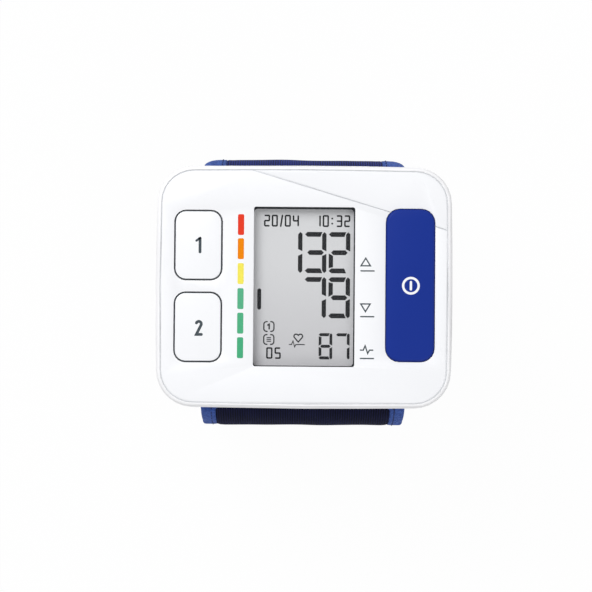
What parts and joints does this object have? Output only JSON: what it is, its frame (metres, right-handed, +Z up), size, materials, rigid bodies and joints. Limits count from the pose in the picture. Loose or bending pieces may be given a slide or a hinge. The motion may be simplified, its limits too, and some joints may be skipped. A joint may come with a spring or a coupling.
{
  "type": "wrist blood pressure monitor",
  "caption": "Wrist blood pressure monitor: white housing with a display, two memory keys and a blue start key, on a navy cuff closed by a hook-and-loop strap.",
  "frame": {"origin": "middle of the flat underside of the closed cuff, below the middle of the housing", "axes": "+Z up toward the display, +Y toward the top edge of the display, +X to its right; the wrist goes through the cuff along X"},
  "size_m": [0.082, 0.0798, 0.0886],
  "materials": {
    "gloss_white": "glossy white face panel and keys",
    "shell_white": "satin white moulded housing",
    "start_blue": "deep blue satin key",
    "inner_grey": "grey moulded inner plastic",
    "clear_lens": "clear lens",
    "display_grey": "reflective liquid crystal display",
    "black_rubber": "black rubber",
    "board_green": "green circuit board",
    "black_plastic": "black moulded plastic",
    "steel": "zinc plated steel",
    "nickel": "nickel plated spring contact",
    "silicone": "translucent silicone hose",
    "cell_jacket": "plain dark printed jacket with no marking",
    "navy_fabric": "ribbed navy loop fabric",
    "lining_fabric": "soft dark lining fabric",
    "binding_navy": "woven navy edge tape",
    "hook_navy": "hook tape",
    "bladder_film": "welded film",
    "stiffener_white": "thin springy plastic band"
  },
  "bodies": {
    "housing": {"rear_shell": "shell_white", "front_shell": "shell_white", "face_panel": "gloss_white", "case_screw_1": "steel", "case_screw_2": "steel", "case_screw_3": "steel", "case_screw_4": "steel", "display_lens": "clear_lens", "display": "display_grey", "display_holder": "black_plastic", "connector_strip_upper": "black_rubber", "connector_strip_lower": "black_rubber", "switch_1": "black_plastic", "switch_2": "black_plastic", "start_switch": "black_plastic", "chassis": "inner_grey", "circuit_board": "board_green", "board_screw_1": "steel", "board_screw_2": "steel", "board_screw_3": "steel", "board_screw_4": "steel", "main_chip": "black_plastic", "crystal": "steel", "capacitor": "black_plastic", "pump_head": "black_plastic", "pump_motor": "steel", "pump_sleeve": "black_rubber", "exhaust_valve": "steel", "air_manifold": "inner_grey", "pressure_sensor": "black_plastic", "cuff_nozzle": "inner_grey", "pump_hose": "silicone", "valve_hose": "silicone", "cell_1": "cell_jacket", "cell_2": "cell_jacket", "contact_link": "nickel", "contact_negative": "nickel", "contact_positive": "nickel", "cuff_saddle": "black_plastic", "cuff_fabric": "navy_fabric", "cuff_stiffener": "stiffener_white", "air_bladder": "bladder_film", "cuff_lining": "lining_fabric", "binding_left": "binding_navy", "binding_right": "binding_navy"},
    "key_1_body": {"key_1": "gloss_white", "switch_stem_1": "black_rubber"},
    "key_2_body": {"key_2": "gloss_white", "switch_stem_2": "black_rubber"},
    "start_key_body": {"start_key": "start_blue", "start_switch_stem": "black_rubber"},
    "door_body": {"battery_door": "shell_white"},
    "tail_body": {"cuff_tail": "navy_fabric", "hook_patch": "hook_navy"}
  },
  "joints": [
    {"name": "key_1_press", "type": "slide", "parent": "housing", "child": "key_1_body", "axis": [0, 0, -1], "range_m": [0, 0.0005], "stiffness_N_per_m": 1500, "springref_m": -0.0004},
    {"name": "key_2_press", "type": "slide", "parent": "housing", "child": "key_2_body", "axis": [0, 0, -1], "range_m": [0, 0.0005], "stiffness_N_per_m": 1500, "springref_m": -0.0004},
    {"name": "start_key_press", "type": "slide", "parent": "housing", "child": "start_key_body", "axis": [0, 0, -1], "range_m": [0, 0.0005], "stiffness_N_per_m": 1500, "springref_m": -0.0004},
    {"name": "battery_door_hinge", "type": "hinge", "parent": "housing", "child": "door_body", "pos_m": [-0.0395, 0, 0.0744], "axis": [0, 1, 0], "range_deg": [0, 90]},
    {"name": "cuff_tail_hinge", "type": "hinge", "parent": "housing", "child": "tail_body", "pos_m": [0, -0.03322, 0.00868], "axis": [1, 0, 0], "range_deg": [0, 80]}
  ]
}
